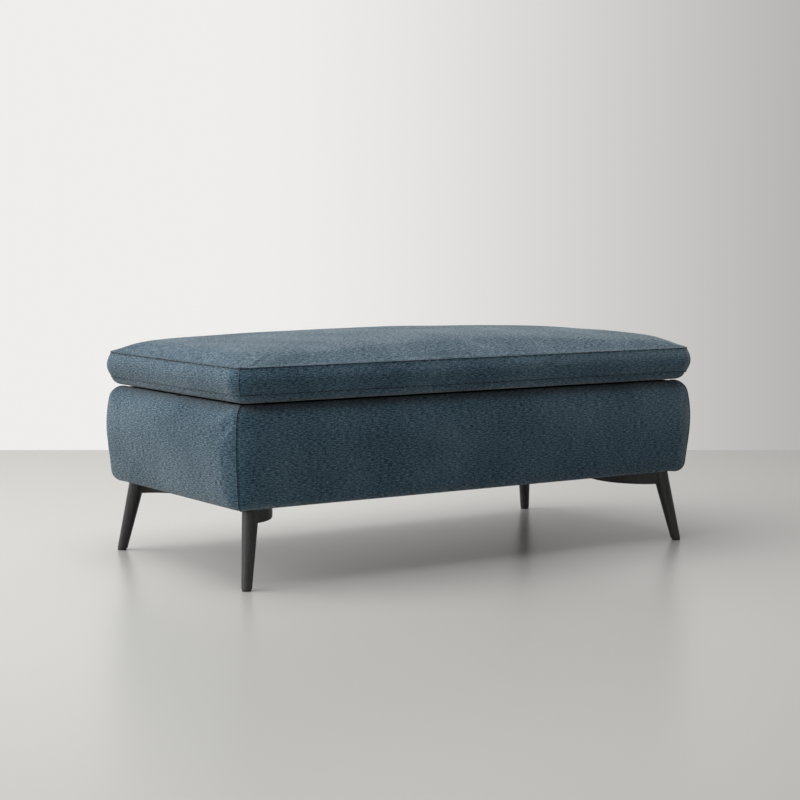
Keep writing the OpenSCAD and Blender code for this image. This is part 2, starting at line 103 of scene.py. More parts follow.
def wood_grain_group():
    """Grain along Z of its Place input. The rings are a noise stretched forty to one along the
    grain, and the pores a finer one that is kept only where it is darkest."""
    tree, given, result = new_group(
        "wood grain",
        {"Place": ("NodeSocketVector", None), "Light": ("NodeSocketColor", (0.5, 0.5, 0.5, 1)),
         "Dark": ("NodeSocketColor", (0.1, 0.1, 0.1, 1)), "Gloss roughness": ("NodeSocketFloat", 0.4)},
        {"Color": "NodeSocketColor", "Roughness": "NodeSocketFloat", "Height": "NodeSocketFloat"})
    place = given.outputs["Place"]
    rings = add_noise(tree, stretched(tree, place, (1, 1, 0.025)), 260, 3, 0.6)
    pores = add_noise(tree, stretched(tree, place, (1, 1, 0.018)), 1300, 2, 0.6)
    open_pores = add_math(tree, "MULTIPLY", add_math(tree, "SUBTRACT", 0.47, pores), 7, clamp=True)
    cloud = add_noise(tree, stretched(tree, place, (1, 1, 0.3)), 18, 2)
    streak = add_math(tree, "MULTIPLY", add_math(tree, "SUBTRACT", rings, 0.36), 3.2, clamp=True)
    shade = add_math(tree, "MULTIPLY", streak, add_math(tree, "ADD", cloud, 0.4), clamp=True)
    mix = add_node(tree, "ShaderNodeMix")
    mix.data_type = "RGBA"
    tree.links.new(shade, mix.inputs["Factor"])
    tree.links.new(given.outputs["Dark"], mix.inputs["A"])
    tree.links.new(given.outputs["Light"], mix.inputs["B"])
    tree.links.new(mix.outputs["Result"], result.inputs["Color"])
    dull = add_math(tree, "MULTIPLY", open_pores, 0.18)
    tree.links.new(add_math(tree, "ADD", given.outputs["Gloss roughness"], dull), result.inputs["Roughness"])
    sunk = add_math(tree, "SUBTRACT", add_math(tree, "MULTIPLY", rings, 0.5), open_pores)
    tree.links.new(sunk, result.inputs["Height"])
    return tree


def new_material(name, roughness=0.5, metallic=0.0, **constants):
    """A material with one Principled shader, its constant sockets set on the shader itself."""
    made = bpy.data.materials.new(name)
    made.use_nodes = True
    shader = made.node_tree.nodes["Principled BSDF"]
    shader.inputs["Roughness"].default_value = roughness
    shader.inputs["Metallic"].default_value = metallic
    for socket, value in constants.items():
        shader.inputs[socket.replace("_", " ")].default_value = value
    return made, made.node_tree, shader


def add_bump(tree, shader, height, distance, strength=1.0):
    """Feeds a height socket through a Bump node into the shader's normal."""
    made = add_node(tree, "ShaderNodeBump", Strength=strength, Distance=distance)
    tree.links.new(height, made.inputs["Height"])
    tree.links.new(made.outputs["Normal"], shader.inputs["Normal"])


grain_group = wood_grain_group()


def wood_material(name, light, dark, roughness, grain_turn, bump, **constants):
    """Wood whose grain runs along Z once its Object coordinates are turned by grain_turn."""
    made, tree, shader = new_material(name, **constants)
    place = add_node(tree, "ShaderNodeTexCoord").outputs["Object"]
    grain = tree.nodes.new("ShaderNodeGroup")
    grain.node_tree = grain_group
    grain.inputs["Light"].default_value = (*light, 1)
    grain.inputs["Dark"].default_value = (*dark, 1)
    grain.inputs["Gloss roughness"].default_value = roughness
    tree.links.new(stretched(tree, place, (1, 1, 1), grain_turn), grain.inputs["Place"])
    tree.links.new(grain.outputs["Color"], shader.inputs["Base Color"])
    tree.links.new(grain.outputs["Roughness"], shader.inputs["Roughness"])
    add_bump(tree, shader, grain.outputs["Height"], bump)
    return made


def finished_copy(node, name, edge, body, smooth_deg=32):
    """A copy of a CAD node with its triangles merged, its edges eased by a small bevel and
    its curved faces shaded smooth. It replaces the node."""
    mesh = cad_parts[node].data.copy()
    mesh.name = name
    piece = bpy.data.objects.new(name, mesh)
    bpy.context.scene.collection.objects.link(piece)
    work = bmesh.new()
    work.from_mesh(mesh)
    bmesh.ops.remove_doubles(work, verts=work.verts, dist=1e-6)
    bmesh.ops.dissolve_limit(work, angle_limit=math.radians(0.5), verts=work.verts, edges=work.edges)
    work.to_mesh(mesh)
    work.free()
    mesh.materials.clear()
    mesh.shade_smooth()
    mesh.set_sharp_from_angle(angle=math.radians(smooth_deg))
    if edge > 0:
        bevel = piece.modifiers.new("eased edges", "BEVEL")
        bevel.width = edge
        bevel.segments = 2
        bevel.limit_method = "ANGLE"
        bevel.angle_limit = math.radians(smooth_deg)
        bevel.harden_normals = True
        bevel.use_clamp_overlap = True
    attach(piece, body)
    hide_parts(node)
    return piece


STAIN_LIGHT = (0.030, 0.030, 0.031)
STAIN_DARK = (0.008, 0.008, 0.009)
LEG_EDGE = 0.0009
ARM_TURN_DEG = 37
corner_names = ["front_left", "front_right", "back_left", "back_right"]
leg_wood = wood_material("black stained beech, upright", STAIN_LIGHT, STAIN_DARK, 0.36, (0, 0, 0), 0.00012,
                         Specular_IOR_Level=0.5)
for corner in corner_names:
    leg = finished_copy(f"leg_{corner}", f"turned_leg_{corner}", LEG_EDGE, "base")
    leg.data.materials.append(leg_wood)
    arm = finished_copy(f"leg_arm_{corner}", f"shaped_arm_{corner}", LEG_EDGE, "base", 40)
    away = ARM_TURN_DEG if corner in ("front_right", "back_left") else -ARM_TURN_DEG
    arm.data.materials.append(wood_material(
        f"black stained beech, {corner} arm", STAIN_LIGHT, STAIN_DARK, 0.36,
        (math.radians(90), 0, math.radians(away)), 0.00012))


def speckled_material(name, colour, roughness, scale, spread, bump, **constants):
    """Moulded plastic or rubber: a fine spark texture that varies the roughness and the surface."""
    made, tree, shader = new_material(name, **constants)
    place = add_node(tree, "ShaderNodeTexCoord").outputs["Object"]
    spark = add_noise(tree, place, scale, 3, 0.6)
    ramp = add_node(tree, "ShaderNodeValToRGB")
    ramp.color_ramp.elements[0].color = (*(0.7 * c for c in colour), 1)
    ramp.color_ramp.elements[1].color = (*(1.3 * c for c in colour), 1)
    tree.links.new(spark, ramp.inputs["Fac"])
    tree.links.new(ramp.outputs["Color"], shader.inputs["Base Color"])
    tree.links.new(add_math(tree, "ADD", add_math(tree, "MULTIPLY", spark, spread), roughness - spread / 2),
                   shader.inputs["Roughness"])
    add_bump(tree, shader, spark, bump)
    return made


glide_plastic = speckled_material("black glide plastic", (0.018, 0.018, 0.018), 0.55, 900, 0.2, 0.00008)
for corner in corner_names:
    glide = finished_copy(f"glide_{corner}", f"foot_glide_{corner}", 0.0008, "base")
    glide.data.materials.append(glide_plastic)

# ---------------------------------------------------------------- Timber box
# The hidden box that the padding is pulled over: plywood panels glued and stapled at the
# corners, with softwood cleats, cross rails and leg blocks under a thin floor panel.

panel_wood = wood_material("birch plywood, along the length", (0.62, 0.47, 0.30), (0.40, 0.27, 0.15), 0.6,
                           (0, math.radians(90), 0), 0.00015)
cross_wood = wood_material("birch plywood, along the depth", (0.62, 0.47, 0.30), (0.40, 0.27, 0.15), 0.6,
                           (math.radians(90), 0, 0), 0.00015)
long_boards = ["front_panel", "back_panel", "front_cleat", "back_cleat", "floor_panel", "lid_board",
               "leg_dowels", *(f"leg_block_{c}" for c in corner_names)]
cross_boards = ["left_panel", "right_panel", "left_cleat", "right_cleat",
                "left_cross_rail", "right_cross_rail"]


def finish_nodes(names, material):
    """Gives CAD nodes one material."""
    for name in names:
        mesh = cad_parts[name].data
        mesh.materials.clear()
        mesh.materials.append(material)


finish_nodes(long_boards, panel_wood)
finish_nodes(cross_boards, cross_wood)

# ---------------------------------------------------------------- Body upholstery
# Cloth sewn from four panels into a sleeve, pulled down over the foam and wadding of the box
# and stapled inside its top edge and underneath. The four seams stand at the corners and run
# on as mitres over the soft top edge. The cloth is a heavy blue weave of slubbed yarns.


def dense_ends(count):
    """count + 1 numbers from 0 to 1 by half a cosine wave, closest together at both ends."""
    return (1 - np.cos(np.pi * np.arange(count + 1) / count)) / 2


def wrap_columns(core_x, core_y, step, corner_count):
    """Columns round a rectangle with round corners. A column stands at an anchor on the core
    rectangle and faces a direction. Along a side the anchor moves and the direction stays. At
    a corner the anchor stays and the direction turns a quarter, in steps that shrink by the
    power CORNER_CROWDING towards the corner's middle, where the seam is."""
    w = np.linspace(-1, 1, corner_count + 1)
    quarter = np.pi / 4 * (1 + np.sign(w) * np.abs(w) ** CORNER_CROWDING)
    anchors, angles, seam_gap = [], [], []
    signs = [(1, 1), (-1, 1), (-1, -1), (1, -1)]
    for k, (sx, sy) in enumerate(signs):
        corner = np.array([sx * core_x, sy * core_y])
        anchors.append(np.repeat(corner[None], len(quarter), 0))
        angles.append(quarter + k * np.pi / 2)
        seam_gap.append(quarter - np.pi / 4)
        after = np.array([signs[(k + 1) % 4][0] * core_x, signs[(k + 1) % 4][1] * core_y])
        count = max(2, int(round(np.linalg.norm(after - corner) / step)))
        t = np.arange(1, count)[:, None] / count
        anchors.append(corner + (after - corner) * t)
        angles.append(np.full(count - 1, (k + 1) * np.pi / 2))
        seam_gap.append(np.full(count - 1, np.nan))
    return np.concatenate(anchors), np.concatenate(angles), np.concatenate(seam_gap)


def wrap_points(columns, core, out, z, least=0.003):
    """Points of a wrapped surface: each column's anchor plus its direction times out, at height
    z. Where out is under the least radius, the core rectangle shrinks instead."""
    anchors, angles, _ = columns
    out, z = np.asarray(out, float)[:, None], np.asarray(z, float)[:, None]
    shrink = np.maximum(least - out, 0)
    reach = np.maximum(out, least)
    x = anchors[None, :, 0] * (1 - shrink / core[0]) + reach * np.cos(angles)[None]
    y = anchors[None, :, 1] * (1 - shrink / core[1]) + reach * np.sin(angles)[None]
    return np.stack([x, y, np.broadcast_to(z, x.shape)], -1)


def grid_normals(points):
    """Unit normals of a grid of points that closes on itself along its second axis: the cross
    product of the differences along the two axes."""
    along = np.roll(points, -1, 1) - np.roll(points, 1, 1)
    down = np.gradient(points, axis=0)
    normal = np.cross(along, down)
    return normal / np.maximum(np.linalg.norm(normal, axis=-1, keepdims=True), 1e-12)


def run_length(points, axis):
    """Distance run along one axis of a grid of points, from its start, averaged over the other."""
    steps = np.linalg.norm(np.diff(points, axis=axis), axis=-1)
    return np.concatenate([[0], np.cumsum(steps.mean(1 - axis))])


def near(distance, width):
    """A bell of height 1: e to the power of minus the square of distance over width."""
    return np.exp(-(distance / width) ** 2)


def slow_waves(x, y, z, seed, length):
    """A smooth unevenness from -1 to 1: the mean of seven sine waves in seeded directions, of
    about the given wave length."""
    rng = np.random.default_rng(seed)
    total = np.zeros(np.broadcast(x, y, z).shape)
    for _ in range(7):
        way = rng.normal(size=3)
        way *= 2 * np.pi / length * rng.uniform(0.6, 1.5) / np.linalg.norm(way)
        total += np.sin(x * way[0] + y * way[1] + z * way[2] + rng.uniform(0, 2 * np.pi))
    return total / 7


def grid_faces(rows, cols, close_rows=False):
    """Four-sided faces of a grid whose columns close on themselves, and whose rows may too."""
    r = np.arange(rows if close_rows else rows - 1)[:, None]
    c = np.arange(cols)[None]
    after_r, after_c = (r + 1) % rows, (c + 1) % cols
    return np.stack([r * cols + c, r * cols + after_c, after_r * cols + after_c, after_r * cols + c],
                    -1).reshape(-1, 4)


CLOTH_FRAMES = 20
CLOTH_STRETCH = 12
CLOTH_LOOSE = 0.002
AIR_PRESSURE = 4


def settled(points, faces, held, cap, extra_faces=()):
    """How far each point of a cover moves when its cloth is let go: a cloth simulation with air
    pressure inside and no gravity, on a rest shape that is a little loose. The seams are held.
    The move is capped, and the trial mesh is removed."""
    mesh = bpy.data.meshes.new("cloth trial")
    mesh.from_pydata(points.tolist(), [], [*faces.tolist(), *extra_faces])
    trial = bpy.data.objects.new("cloth trial", mesh)
    bpy.context.scene.collection.objects.link(trial)
    group = trial.vertex_groups.new(name="held")
    for amount in np.unique(np.round(held[held > 0.02], 1)):
        group.add(np.flatnonzero(np.round(held, 1) == amount).tolist(), float(amount), "REPLACE")
    cloth = trial.modifiers.new("settling", "CLOTH")
    cloth.settings.vertex_group_mass = "held"
    cloth.settings.quality = 6
    cloth.settings.mass = 0.4
    cloth.settings.tension_stiffness = CLOTH_STRETCH
    cloth.settings.compression_stiffness = CLOTH_STRETCH
    cloth.settings.shear_stiffness = 4
    cloth.settings.bending_stiffness = 1.5
    cloth.settings.shrink_min = -CLOTH_LOOSE
    cloth.settings.use_pressure = True
    cloth.settings.uniform_pressure_force = AIR_PRESSURE
    cloth.settings.effector_weights.gravity = 0
    cloth.collision_settings.use_collision = False
    cloth.point_cache.frame_start = 1
    cloth.point_cache.frame_end = CLOTH_FRAMES
    for step in range(1, CLOTH_FRAMES + 1):
        bpy.context.scene.frame_set(step)
    result = trial.evaluated_get(bpy.context.evaluated_depsgraph_get()).to_mesh()
    moved = np.empty(len(points) * 3, np.float32)
    result.vertices.foreach_get("co", moved)
    move = moved.reshape(-1, 3) - points
    bpy.data.objects.remove(trial)
    bpy.data.meshes.remove(mesh)
    bpy.context.scene.frame_set(1)
    length = np.linalg.norm(move, axis=1, keepdims=True)
    return move * np.minimum(1, cap / np.maximum(length, 1e-9))


def settled_grid(points, held, cap, row_step=3, col_step=3, caps=False):
    """The settled move of a wrapped grid, simulated on every row_step-th row and col_step-th
    column of it and spread back to the full grid in straight lines between them."""
    rows, cols = points.shape[:2]
    r = np.unique(np.append(np.arange(0, rows, row_step), rows - 1))
    c = np.arange(0, cols, col_step)
    some = points[np.ix_(r, c)]
    faces = grid_faces(len(r), len(c))[:, ::-1]
    last = len(r) * len(c) - 1
    ends = [list(range(len(c))), list(range(last, last - len(c), -1))] if caps else []
    move = settled(some.reshape(-1, 3), faces, held[np.ix_(r, c)].ravel(), cap, ends).reshape(some.shape)
    at = np.searchsorted(r, np.arange(rows), side="right").clip(1, len(r) - 1)
    share = ((np.arange(rows) - r[at - 1]) / (r[at] - r[at - 1]))[:, None, None]
    move = move[at - 1] * (1 - share) + move[at] * share
    left = np.arange(cols) // col_step
    right = (left + 1) % len(c)
    width = np.where(right == 0, cols - c[-1], col_step)
    share = ((np.arange(cols) - c[left]) / width)[None, :, None]
    return move[:, left] * (1 - share) + move[:, right] * share


def new_piece(name, points, faces, extra_faces=(), seam=None, cloth_uv=None):
    """A mesh object at the origin from an array of points and arrays of faces, smooth, with the
    seam attribute, the mask of the shade painted along the seams, and the cloth UV map that
    the cloth's material reads."""
    mesh = bpy.data.meshes.new(name)
    mesh.from_pydata(points.reshape(-1, 3).tolist(), [], [*faces.tolist(), *extra_faces])
    mesh.shade_smooth()
    if seam is not None:
        layer = mesh.attributes.new("seam", "FLOAT", "POINT")
        layer.data.foreach_set("value", seam.ravel().astype(np.float32))
    if cloth_uv is not None:
        layer = mesh.uv_layers.new(name="cloth")
        layer.data.foreach_set("uv", cloth_uv.ravel().astype(np.float32))
    mesh.validate()
    piece = bpy.data.objects.new(name, mesh)
    bpy.context.scene.collection.objects.link(piece)
    return piece


WARP_PITCH = 0.0016
WEFT_PITCH = 0.0013


def weave_group():
    """Slubbed plain weave. Place is the cloth's own plane in metres, with the weft along X. Long
    thin noise gives the slubs, finer noise the single yarns, and the product of two sine waves
    the crossings of warp and weft. The seam shade input darkens the colour along the stitch
    line: painted shade for the groove of the seam, which the mesh itself sinks."""
    tree, given, result = new_group(
        "slubbed weave",
        {"Place": ("NodeSocketVector", None), "Seam": ("NodeSocketFloat", 0.0),
         "Deep": ("NodeSocketColor", (0, 0, 0, 1)), "Middle": ("NodeSocketColor", (0, 0, 0, 1)),
         "Pale": ("NodeSocketColor", (1, 1, 1, 1))},
        {"Color": "NodeSocketColor", "Roughness": "NodeSocketFloat", "Fuzz": "NodeSocketFloat",
         "Height": "NodeSocketFloat"})
    place = given.outputs["Place"]
    slub = add_noise(tree, stretched(tree, place, (95, 560, 1)), 1.0, 2.5, 0.68)
    fleck = add_noise(tree, stretched(tree, place, (230, 620, 1)), 1.0, 2, 0.65)
    yarn = add_noise(tree, stretched(tree, place, (420, 1500, 1)), 1.0, 1, 0.5)
    drift = add_noise(tree, stretched(tree, place, (7, 7, 1)), 1.0, 2, 0.5)
    tone = add_math(tree, "ADD", add_math(tree, "MULTIPLY", slub, 0.52),
                    add_math(tree, "MULTIPLY", fleck, 0.34))
    tone = add_math(tree, "ADD", tone, add_math(tree, "MULTIPLY", yarn, 0.14))
    drifted = add_math(tree, "MULTIPLY", add_math(tree, "SUBTRACT", drift, 0.5), 0.10)
    tone = add_math(tree, "ADD", tone, drifted)
    spread = add_math(tree, "MULTIPLY", add_math(tree, "SUBTRACT", tone, 0.5), 5.6)
    dyed = add_math(tree, "ADD", spread, 0.43, True)
    low = add_node(tree, "ShaderNodeMix")
    low.data_type = "RGBA"
    tree.links.new(add_math(tree, "MULTIPLY", dyed, 2, True), low.inputs["Factor"])
    tree.links.new(given.outputs["Deep"], low.inputs["A"])
    tree.links.new(given.outputs["Middle"], low.inputs["B"])
    high = add_node(tree, "ShaderNodeMix")
    high.data_type = "RGBA"
    upper = add_math(tree, "SUBTRACT", add_math(tree, "MULTIPLY", dyed, 2), 1, True)
    tree.links.new(upper, high.inputs["Factor"])
    tree.links.new(low.outputs["Result"], high.inputs["A"])
    tree.links.new(given.outputs["Pale"], high.inputs["B"])
    # Painted shade: along the seams the colour is multiplied down towards 0.16 to 0.19 of itself, for the
    # shade in their grooves.
    shaded = add_node(tree, "ShaderNodeMix")
    shaded.data_type = "RGBA"
    shaded.blend_type = "MULTIPLY"
    shaded.inputs["B"].default_value = (0.16, 0.17, 0.19, 1)
    tree.links.new(add_math(tree, "MULTIPLY", given.outputs["Seam"], 0.85), shaded.inputs["Factor"])
    tree.links.new(high.outputs["Result"], shaded.inputs["A"])
    tree.links.new(shaded.outputs["Result"], result.inputs["Color"])
    split = tree.nodes.new("ShaderNodeSeparateXYZ")
    tree.links.new(place, split.inputs["Vector"])
    warp = add_math(tree, "SINE", add_math(tree, "MULTIPLY", split.outputs["X"], 2 * math.pi / WARP_PITCH))
    weft = add_math(tree, "SINE", add_math(tree, "MULTIPLY", split.outputs["Y"], 2 * math.pi / WEFT_PITCH))
    crossing = add_math(tree, "MULTIPLY", add_math(tree, "MULTIPLY", warp, weft), 0.22)
    height = add_math(tree, "ADD", add_math(tree, "MULTIPLY", tone, 1.6), crossing)
    tree.links.new(height, result.inputs["Height"])
    fuzz = add_math(tree, "ADD", 0.04, add_math(tree, "MULTIPLY", dyed, 0.62))
    tree.links.new(fuzz, result.inputs["Fuzz"])
    rough = add_math(tree, "SUBTRACT", 0.96, add_math(tree, "MULTIPLY", dyed, 0.12))
    tree.links.new(rough, result.inputs["Roughness"])
    return tree


def cloth_material(name, deep, middle, pale, bump):
    """The upholstery cloth: the weave group on the piece's own cloth UV map, with a faint sheen."""
    made, tree, shader = new_material(name, Sheen_Roughness=0.50, Sheen_Tint=(1.0, 1.0, 0.96, 1),
                                      Specular_IOR_Level=0.18)
    place = add_node(tree, "ShaderNodeUVMap")
    place.uv_map = "cloth"
    # The seam attribute is the mask of the shade painted into the colour along the seams.
    seam = add_node(tree, "ShaderNodeAttribute")
    seam.attribute_name = "seam"
    weave = tree.nodes.new("ShaderNodeGroup")
    weave.node_tree = bpy.data.node_groups.get("slubbed weave") or weave_group()
    for label, colour in (("Deep", deep), ("Middle", middle), ("Pale", pale)):
        weave.inputs[label].default_value = (*colour, 1)
    tree.links.new(place.outputs["UV"], weave.inputs["Place"])
    tree.links.new(seam.outputs["Fac"], weave.inputs["Seam"])
    tree.links.new(weave.outputs["Color"], shader.inputs["Base Color"])
    tree.links.new(weave.outputs["Roughness"], shader.inputs["Roughness"])
    tree.links.new(weave.outputs["Fuzz"], shader.inputs["Sheen Weight"])
    add_bump(tree, shader, weave.outputs["Height"], bump)
    return made


blue_cloth = cloth_material("blue slubbed cloth", (0.011, 0.033, 0.053), (0.038, 0.088, 0.130),
                            (0.112, 0.186, 0.240), 0.0005)

SIDE_STEP = 0.008
CORNER_COUNT = 44
CORNER_CROWDING = 1.9
TURN_IN = 0.026
CLOTH_T = 0.0016
panel_low, panel_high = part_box("front_panel")
cover_low, cover_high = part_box("body_cover")
CORE_IN = 0.010
body_core = (panel_high.x - CORE_IN, -panel_low.y - CORE_IN)
PANEL_T = panel_high.y - panel_low.y
TOP_EDGE_R = 0.024
BOTTOM_EDGE_R = 0.020
BELLY = 0.012
BELLY_LIFT = 1.36
INSIDE_R = 0.004
BODY_CAP = 0.003
STITCH_W = 0.0013
# Width of the shade painted into the cloth's colour along each seam.
SEAM_SHADE_W = 0.0014


def edge_cut(d, r):
    """How far a round edge of radius r has cut back at the distance d from its end: r less the
    side of a right triangle whose long side is r."""
    gone = np.clip(r - d, 0, r)
    return r - np.sqrt(r * r - gone * gone)


def body_profile(rows):
    """The padded side from its inside top edge to its under edge, as out and height. Up the
    inside of the panel, across its top, then down the side, which is a straight wall, plus a
    belly of one sine arch, less a round edge at each end. The points are evenly spaced."""
    full = cover_high.x - body_core[0] - BELLY
    height = cover_high.z - cover_low.z
    t = dense_ends(400)[::-1]
    side = full + BELLY * np.sin(np.pi * t ** BELLY_LIFT)
    side -= edge_cut(t * height, BOTTOM_EDGE_R) + edge_cut((1 - t) * height, TOP_EDGE_R)
    inside = CORE_IN - PANEL_T - CLOTH_T
    turn = np.linspace(np.pi, np.pi / 2, 12)
    out = np.concatenate([[inside], inside + INSIDE_R + INSIDE_R * np.cos(turn), side, [0.001]])
    z = np.concatenate([[cover_high.z - TURN_IN], cover_high.z - INSIDE_R + INSIDE_R * np.sin(turn),
                        cover_low.z + t * height, [cover_low.z]])
    run = np.concatenate([[0], np.cumsum(np.hypot(np.diff(out), np.diff(z)))])
    even = np.linspace(0, run[-1], rows)
    return np.interp(even, run, out), np.interp(even, run, z)


def panel_uv(length_round, length_down, faces_shape, columns, shift):
    """Cloth UVs for the faces of a wrapped grid: the run round the piece and the run down it,
    moved by its own amount for each of the four panels, which part at the corners' middles."""
    rows, cols = faces_shape
    angles = columns[1]
    after = np.append(angles[1:], angles[0] + 2 * np.pi)
    panel = np.floor(((angles + after) / 2 + np.pi / 4 - 1e-6) / (np.pi / 2)).astype(int) % 4
    u0, u1 = length_round[:cols], length_round[1:cols + 1]
    v0, v1 = length_down[:rows], length_down[1:rows + 1]
    u = np.stack([u0, u1, u1, u0], -1)[None] + (panel * shift)[None, :, None]
    v = np.stack([v0, v0, v1, v1], -1)[:, None] + (panel * 0.37 * shift)[None, :, None]
    return np.stack([np.broadcast_to(u, (rows, cols, 4)), np.broadcast_to(v, (rows, cols, 4))], -1)


body_columns = wrap_columns(*body_core, SIDE_STEP, CORNER_COUNT)
body_out, body_z = body_profile(104)
body_skin = wrap_points(body_columns, body_core, body_out, body_z)
closed_round = np.concatenate([body_skin, body_skin[:, :1]], 1)
widest = int(np.argmax(body_out))
body_round, body_down = run_length(closed_round[widest:widest + 1], 1), run_length(body_skin, 0)
seam_gap = np.nan_to_num(np.abs(body_columns[2]), nan=1.0)[None] * np.maximum(body_out, 0.003)[:, None]
facing = grid_normals(body_skin)
long_side = np.sin(body_columns[1]) ** 2 > 0.5
sunk = 0.0018 * near(seam_gap, STITCH_W) + 0.0010 * near(seam_gap, 0.012)
sunk = sunk - 0.0009 * near(seam_gap - 0.0042, 0.0017) * long_side[None]
puff = 0.0006 * slow_waves(*np.moveaxis(body_skin, -1, 0), 3, 0.16) * (1 - near(seam_gap, 0.02))
free = np.clip((body_z - cover_low.z) / 0.03, 0, 1) * np.clip((body_out - 0.004) / 0.02, 0, 1)
free = free[:, None] * (1 - near(seam_gap, 0.006))
body_skin = body_skin + settled_grid(body_skin, 1 - free, BODY_CAP) * free[..., None]
body_skin = body_skin + facing * ((puff * free - sunk * np.clip(body_out / 0.01, 0, 1)[:, None])[..., None])
behind_panel, inside_panel = CORE_IN + 0.0002, CORE_IN - PANEL_T - 0.0001
back_out = np.array([0.001, behind_panel, behind_panel, inside_panel, inside_panel])
back_z = np.array([panel_low.z - 0.0002, panel_low.z - 0.0002, panel_high.z + 0.0002, panel_high.z + 0.0002,
                   cover_high.z - TURN_IN])
body_back = wrap_points(body_columns, body_core, back_out, back_z)
body_points = np.concatenate([body_skin, body_back])
rows, cols = body_points.shape[:2]
down = np.concatenate([body_down, body_down[-1] + 0.01 * np.arange(1, len(back_z) + 2)])
# The seam attribute paints shade into the colour along the four corner seams.
body_piece = new_piece(
    "body_upholstery", body_points, grid_faces(rows, cols, close_rows=True)[:, ::-1],
    seam=np.concatenate([near(seam_gap, SEAM_SHADE_W), np.zeros(body_back.shape[:2])]),
    cloth_uv=panel_uv(body_round, down, (rows, cols), body_columns, 0.731)[..., ::-1, :])
body_piece.data.materials.append(blue_cloth)
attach(body_piece, "base")
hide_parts("body_cover", "front_padding", "back_padding", "left_padding", "right_padding")

# ---------------------------------------------------------------- Storage lining and dust cover
# A loose black non-woven lining is sewn as an open box and stapled under the turned-in cover.
# A sheet of the same cloth closes the underside, stapled round its edge over the cover's hem.


def fleece_material(name, colour):
    """Non-woven cloth: a point-bonded felt. Two noises give its fibres, a small grid of sine
    waves its bonding dots."""
    made, tree, shader = new_material(name, Specular_IOR_Level=0.25)
    place = add_node(tree, "ShaderNodeTexCoord").outputs["Object"]
    fibre = add_noise(tree, place, 1400, 3, 0.7)
    cloud = add_noise(tree, place, 60, 2, 0.5)
    ramp = add_node(tree, "ShaderNodeValToRGB")
    ramp.color_ramp.elements[0].color = (*(0.6 * c for c in colour), 1)
    ramp.color_ramp.elements[1].color = (*(1.6 * c for c in colour), 1)
    tree.links.new(add_math(tree, "ADD", add_math(tree, "MULTIPLY", fibre, 0.6),
                            add_math(tree, "MULTIPLY", cloud, 0.4)), ramp.inputs["Fac"])
    tree.links.new(ramp.outputs["Color"], shader.inputs["Base Color"])
    tree.links.new(add_math(tree, "ADD", add_math(tree, "MULTIPLY", fibre, 0.2), 0.72),
                   shader.inputs["Roughness"])
    split = tree.nodes.new("ShaderNodeSeparateXYZ")
    tree.links.new(place, split.inputs["Vector"])
    waves = [add_math(tree, "SINE", add_math(tree, "MULTIPLY", split.outputs[axis], 2 * math.pi / 0.0022))
             for axis in "XYZ"]
    wave_sum = add_math(tree, "ADD", add_math(tree, "ADD", waves[0], waves[1]), waves[2])
    dots = add_math(tree, "MULTIPLY", wave_sum, 0.3)
    add_bump(tree, shader, add_math(tree, "ADD", dots, fibre), 0.00025)
    return made


black_fleece = fleece_material("black non-woven lining", (0.020, 0.020, 0.022))
lining_low, lining_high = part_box("storage_lining")
LINING_T = 0.0009
LINING_TOP = cover_high.z - TURN_IN + 0.006
LINING_TURN_R = 0.008


def lining_profile(count_down, count_in):
    """The lining from its top edge down the wall, round a small turn and in over the floor, as
    three numbers a row: a shrink of the box, a height, and the share of the way in."""
    arc = np.linspace(0, np.pi / 2, 7)[1:]
    down = np.linspace(LINING_TOP, lining_low.z + LINING_TURN_R, count_down)
    inward = 1 - (1 - np.linspace(0, 1, count_in)) ** 1.5
    turned = LINING_TURN_R * (1 - np.cos(arc))
    dropped = lining_low.z + LINING_TURN_R * (1 - np.sin(arc))
    return (np.concatenate([np.zeros(count_down), turned, LINING_TURN_R + inward[1:] * 0.9]),
            np.concatenate([down, dropped, np.full(count_in - 1, lining_low.z)]),
            np.concatenate([np.zeros(count_down + len(arc)), inward[1:]]))


def lining_points(offset):
    """The lining's surface, offset into the box. It is a wrapped surface on the box's inside,
    with slow waves in the walls and the floor, and its floor rows close in on the middle."""
    core = np.array([lining_high.x, lining_high.y]) - 0.0004 - LINING_TURN_R
    inward, z, close = lining_profile(34, 26)
    columns = wrap_columns(*core, 0.016, 6)
    out = LINING_TURN_R - np.minimum(inward, LINING_TURN_R) - offset
    grid = wrap_points(columns, core, out, z + offset * (z < lining_low.z + LINING_TURN_R), 0.0001)
    grid[..., :2] *= (1 - close * 0.985)[:, None, None]
    x, y, height = np.moveaxis(grid, -1, 0)
    wave = slow_waves(x, y, height, 11, 0.13) + 0.5 * slow_waves(x, y, height, 12, 0.05)
    lift = (wave + 1.5) * 0.0008
    ease = np.clip((LINING_TOP - height) / 0.03, 0, 1)
    facing = grid_normals(grid)
    facing[close > 0.9] = (0, 0, 1)
    inward_way = np.stack([-x, -y, 0 * x + 0.3], -1)
    inside = np.where((facing * inward_way).sum(-1) > 0, 1, -1)
    return grid + facing * (inside * lift * ease)[..., None]


inner_skin, outer_skin = lining_points(LINING_T), lining_points(0)
lining_all = np.concatenate([inner_skin, outer_skin[::-1]])
lining_rows, lining_cols = lining_all.shape[:2]
lining_faces = grid_faces(lining_rows, lining_cols, close_rows=True)
middle_row = (inner_skin.shape[0] - 1) * lining_cols
keep = ~((lining_faces[:, 0] >= middle_row) & (lining_faces[:, 0] < middle_row + lining_cols))
caps = [list(range(middle_row, middle_row + lining_cols)),
        list(range(middle_row + 2 * lining_cols - 1, middle_row + lining_cols - 1, -1))]
lining_piece = new_piece("storage_lining_cloth", lining_all, lining_faces[keep], caps)
lining_piece.data.materials.append(black_fleece)
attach(lining_piece, "base")
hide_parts("storage_lining")

SHEET_RINGS = 34
SHEET_T = 0.0008


